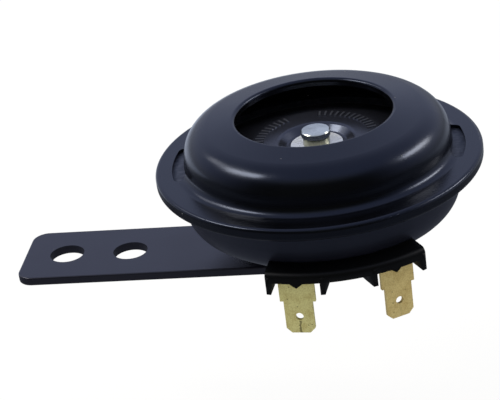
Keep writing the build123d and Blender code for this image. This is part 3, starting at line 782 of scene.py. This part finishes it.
class HORN_OT_breaker(bpy.types.Operator):
    """Finishes the contact breaker"""

    bl_idname = "horn.breaker"
    bl_label = "Contact breaker"

    def execute(self, context):
        phenolic = plain_solid("brown_phenolic", (0.30, 0.14, 0.07), 0.5)
        bronze = worked_metal("spring_bronze", (0.62, 0.42, 0.22), (0.45, 0.28, 0.15), 0.32)
        tungsten = worked_metal("tungsten", (0.5, 0.5, 0.52), (0.3, 0.3, 0.32), 0.35)
        plated = worked_metal("plated_strip", (0.6, 0.61, 0.63), (0.42, 0.43, 0.45), 0.35)
        for node in ("breaker_insulator", "contact_spacer"):
            finish_node(node, phenolic)
        for node in ("moving_contact", "fixed_contact"):
            finish_node(node, tungsten)
        for node in ("contact_plate", "breaker_tag", "breaker_rivets", "contact_rivets"):
            finish_node(node, plated)
        self.bend_leaf(bronze)
        return {"FINISHED"}

    def bend_leaf(self, bronze):
        """The breaker's leaf, cut across in steps near its root."""
        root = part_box("breaker_insulator")[1].x
        bm = bmesh.new()
        bm.from_mesh(NODE["breaker_leaf"].data)
        bmesh.ops.remove_doubles(bm, verts=bm.verts, dist=WELD)
        for step in range(LEAF_CUTS + 1):
            bmesh.ops.bisect_plane(
                bm,
                geom=bm.verts[:] + bm.edges[:] + bm.faces[:],
                plane_co=(root + LEAF_BEND * step / LEAF_CUTS, 0, 0),
                plane_no=(1, 0, 0),
            )
        bmesh.ops.recalc_face_normals(bm, faces=bm.faces)
        piece = finish_mesh(bm, "breaker_leaf_spring", bronze, "housing")
        piece.parent = None
        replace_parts(piece, "breaker_leaf")
        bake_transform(piece)


class HORN_OT_adjuster(bpy.types.Operator):
    """Finishes the adjusting screw and its press nut"""

    bl_idname = "horn.adjuster"
    bl_label = "Adjusting screw"

    def execute(self, context):
        brass = worked_metal("screw_brass", (0.70, 0.56, 0.30), (0.5, 0.38, 0.2), 0.32)
        zinc = worked_metal("press_nut_zinc", (0.6, 0.62, 0.65), (0.4, 0.42, 0.45), 0.35)
        finish_node("adjusting_screw", brass)
        finish_node("adjuster_press_nut", zinc)
        return {"FINISHED"}


class HORN_OT_terminals(bpy.types.Operator):
    """Deepens the V relief in the two blades, and keys the moulded block into it"""

    bl_idname = "horn.terminals"
    bl_label = "Terminals"

    def execute(self, context):
        metal = context.scene.horn_metal
        moulding = plain_solid(
            "black_phenolic", (0.0007, 0.0009, 0.0013), 0.44, 90.0, 2600.0, shine=0.22
        )
        keys = []
        for node, setting, turn, middle, stain in TERMINALS:
            colour = getattr(metal, setting)
            dark = [share * c for share, c in zip(TARNISH, colour)]
            brass = tarnished_brass(node + "_brass", colour, dark, turn, middle * MM, stain)
            relief = prism(RELIEF, middle, RELIEF_SPAN, turn)
            blade = shaped(node, [relief], "DIFFERENCE")
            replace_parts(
                finish_mesh(blade, node + "_blade", brass, "housing"), node
            )
            keys.append(prism(KEY, middle, KEY_SPAN, turn))
        block = shaped("terminal_block", keys, "UNION")
        piece = finish_mesh(block, "terminal_moulding", moulding, "housing")
        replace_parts(piece, "terminal_block")
        return {"FINISHED"}


class HORN_OT_bracket(bpy.types.Operator):
    """Finishes the strap, the stud, its spring washer and its nut"""

    bl_idname = "horn.bracket"
    bl_label = "Bracket"

    def execute(self, context):
        paint = context.scene.horn_paint
        skin = enamel(
            "strap_enamel",
            paint.bracket,
            0.3,
            grain=1.8,
            dust=paint.dust,
            tint=(0.85, 0.86, 1.0),
            level=0.66,
        )
        zinc = worked_metal("fastener_zinc", (0.62, 0.64, 0.67), (0.42, 0.44, 0.47), 0.3)
        finish_node("strap_bracket", skin)
        for node in ("spring_washer", "stud_nut", "core_stud"):
            finish_node(node, zinc)
        return {"FINISHED"}


class HORN_OT_leads(bpy.types.Operator):
    """Finishes the three leads inside the housing"""

    bl_idname = "horn.leads"
    bl_label = "Leads"

    def execute(self, context):
        for name, colour in (
            ("coil_lead", (0.5, 0.05, 0.04)),
            ("contact_lead", (0.5, 0.05, 0.04)),
            ("breaker_lead", (0.45, 0.4, 0.3)),
        ):
            finish_node(name, plain_solid(name + "_sleeve", colour, 0.5))
        return {"FINISHED"}


def direction(azimuth, elevation):
    """A unit vector from the horn: azimuth 0 is away from the camera, 90 to the right."""
    turn, rise = radians(azimuth), radians(elevation)
    return Vector((sin(turn) * cos(rise), cos(turn) * cos(rise), sin(rise)))


def softbox(name, azimuth, elevation, roll, width, height, radiance):
    """A rectangular softbox that faces the horn, rolled about the line between them."""
    lamp = bpy.data.lights.new(name, "AREA")
    lamp.shape = "RECTANGLE"
    lamp.size = width
    lamp.size_y = height
    lamp.energy = radiance * pi * width * height
    lamp.color = SOFTBOX_COLOUR
    box = bpy.data.objects.new(name, lamp)
    bpy.context.scene.collection.objects.link(box)
    towards = direction(azimuth, elevation)
    facing = towards.to_track_quat("Z", "Y").to_matrix().to_4x4()
    place = Matrix.Translation(towards * SOFTBOX_DISTANCE)
    box.matrix_world = place @ facing @ Matrix.Rotation(radians(roll), 4, "Z")


class HORN_OT_stage(bpy.types.Operator):
    """Lays the pale floor and sets the light and the camera"""

    bl_idname = "horn.stage"
    bl_label = "Stage"

    def execute(self, context):
        stage = context.scene.horn_stage
        scene = context.scene
        bm = bmesh.new()
        bmesh.ops.create_grid(bm, x_segments=1, y_segments=1, size=FLOOR_REACH)
        floor_height = CAD_BOX[0].z - stage.floor_drop
        bmesh.ops.translate(bm, verts=bm.verts, vec=(0, 0, floor_height))
        floor = place_mesh(bm, "floor")
        floor.data.materials.append(self.floor_material())

        self.light_world(scene)
        for *shape, setting, share in SOFTBOXES:
            softbox(*shape, share * getattr(stage, setting))
        self.place_camera(scene)
        scene.view_settings.view_transform = "Standard"
        return {"FINISHED"}

    def place_camera(self, scene):
        """A long lens that looks down on the horn from in front."""
        lens = bpy.data.cameras.new("camera")
        lens.sensor_width = SENSOR_WIDTH
        lens.lens = LENS_LENGTH
        lens.clip_start = 0.01
        lens.clip_end = 10.0
        camera = bpy.data.objects.new("camera", lens)
        scene.collection.objects.link(camera)
        axes = (Vector(CAMERA_RIGHT), -Vector(CAMERA_DOWN), -Vector(CAMERA_FORWARD))
        facing = Matrix(axes).transposed().to_4x4()
        camera.matrix_world = Matrix.Translation(CAMERA_PLACE) @ facing
        scene.camera = camera

    def floor_material(self):
        """White to the camera where it is lit, and grey towards the camera in reflections."""
        material = bpy.data.materials.new("floor_white")
        material.use_nodes = True
        tree = material.node_tree
        tree.nodes.clear()
        rays = join(tree, "ShaderNodeLightPath")
        lit = join(tree, "ShaderNodeBsdfDiffuse", {"Color": (0.9, 0.9, 0.9, 1.0)})[0]
        white = join(tree, "ShaderNodeEmission", {"Color": WHITE, "Strength": 1.03})[0]
        seen = join(tree, "ShaderNodeMixShader", {0: 0.85, 1: lit, 2: white})[0]
        place = join(tree, "ShaderNodeTexCoord")["Object"]
        side, depth, _ = join(tree, "ShaderNodeSeparateXYZ", {0: place})
        near = ramp(tree, depth, -0.27, -0.13, 0.04, 0.13)
        bright = ramp(tree, side, -0.16, 0.04, 0.78, 0.34)
        behind = arithmetic(tree, "MULTIPLY", ramp(tree, depth, 0.1, 0.24), bright)
        far = ramp(tree, depth, 0.45, 0.9, 0.0, -0.25)
        strength = arithmetic(tree, "ADD", near, arithmetic(tree, "ADD", behind, far))
        glow = join(
            tree, "ShaderNodeEmission", {"Color": (0.87, 0.96, 1.18, 1.0), "Strength": strength}
        )[0]
        bounced = join(tree, "ShaderNodeMixShader", {0: 0.75, 1: lit, 2: white})[0]
        mirrored = join(
            tree, "ShaderNodeMixShader", {0: rays["Is Glossy Ray"], 1: bounced, 2: glow}
        )[0]
        result = join(
            tree, "ShaderNodeMixShader", {0: rays["Is Camera Ray"], 1: mirrored, 2: seen}
        )[0]
        join(tree, "ShaderNodeOutputMaterial", {"Surface": result})
        return material

    def light_world(self, scene):
        """A white backdrop that falls to a dim room in front of the horn."""
        world = bpy.data.worlds.new("studio")
        world.use_nodes = True
        scene.world = world
        tree = world.node_tree
        tree.nodes.clear()
        rays = join(tree, "ShaderNodeLightPath")
        towards = join(
            tree, "ShaderNodeSeparateXYZ", {0: join(tree, "ShaderNodeTexCoord")["Generated"]}
        )
        backdrop = ramp(tree, towards[1], -0.75, 0.5, 0.04, 0.54)
        horizon = ramp(tree, towards[2], -0.05, 0.22, 0.68, 1.0)
        backdrop = arithmetic(tree, "MULTIPLY", backdrop, horizon)
        overhead = ramp(tree, towards[2], 0.6, 0.92)
        room = join(
            tree, "ShaderNodeMix", {0: overhead, 2: backdrop, 3: 0.46}, data_type="FLOAT"
        )[0]
        room = join(
            tree, "ShaderNodeMix", {0: rays["Is Glossy Ray"], 2: 0.7, 3: room}, data_type="FLOAT"
        )[0]
        clear = arithmetic(tree, "MAXIMUM", rays["Is Camera Ray"], rays["Is Transmission Ray"])
        strength = join(tree, "ShaderNodeMix", {0: clear, 2: room, 3: 1.0}, data_type="FLOAT")[0]
        height = ramp(tree, towards[2], 0.0, 0.4)
        sky = blend_colours(tree, height, (0.90, 0.96, 1.18, 1.0), (0.84, 0.94, 1.33, 1.0))
        front = ramp(tree, towards[1], -0.9, -0.3)
        sky = blend_colours(tree, front, (1.0, 1.0, 0.75, 1.0), sky)
        sky = blend_colours(tree, rays["Is Glossy Ray"], WHITE, sky)
        colour = blend_colours(tree, clear, sky, WHITE)
        glow = join(tree, "ShaderNodeBackground", {"Color": colour, "Strength": strength})[0]
        join(tree, "ShaderNodeOutputWorld", {"Surface": glow})


STEPS = (
    HORN_OT_shell,
    HORN_OT_diaphragm,
    HORN_OT_gaskets,
    HORN_OT_centre_fastener,
    HORN_OT_magnet,
    HORN_OT_breaker,
    HORN_OT_adjuster,
    HORN_OT_terminals,
    HORN_OT_bracket,
    HORN_OT_leads,
    HORN_OT_stage,
)


class HORN_PT_panel(bpy.types.Panel):
    """The horn's settings and steps, in the 3D view's sidebar"""

    bl_idname = "HORN_PT_panel"
    bl_label = "Disc Horn"
    bl_space_type = "VIEW_3D"
    bl_region_type = "UI"
    bl_category = "Horn"

    def draw(self, context):
        layout = self.layout
        for group, names in SETTINGS.items():
            box = layout.box()
            for name in names:
                box.prop(getattr(context.scene, group), name)
        for step in STEPS:
            layout.operator(step.bl_idname)


SETTINGS = {
    "horn_paint": ("shell", "shell_roughness", "bowl", "diaphragm", "bracket", "dust"),
    "horn_metal": ("zinc", "brass", "left_blade", "right_blade"),
    "horn_diaphragm": ("tick_height", "tick_step"),
    "horn_stage": ("floor_drop", "left_strength", "right_strength"),
}
GROUPS = {
    "horn_paint": PaintSettings,
    "horn_metal": MetalSettings,
    "horn_diaphragm": DiaphragmSettings,
    "horn_stage": StageSettings,
}


def register():
    for name, group in GROUPS.items():
        bpy.utils.register_class(group)
        setattr(bpy.types.Scene, name, bpy.props.PointerProperty(type=group))
    for kind in (*STEPS, HORN_PT_panel):
        bpy.utils.register_class(kind)


def unregister():
    for kind in reversed((*STEPS, HORN_PT_panel)):
        bpy.utils.unregister_class(kind)
    for name, group in reversed(GROUPS.items()):
        delattr(bpy.types.Scene, name)
        bpy.utils.unregister_class(group)


def main():
    register()
    for build in (specks_group, mottle_group, scratches_group, turned_group):
        build()
    for step in STEPS:
        space, name = step.bl_idname.split(".")
        getattr(getattr(bpy.ops, space), name)()


if __name__ == "__main__":
    main()
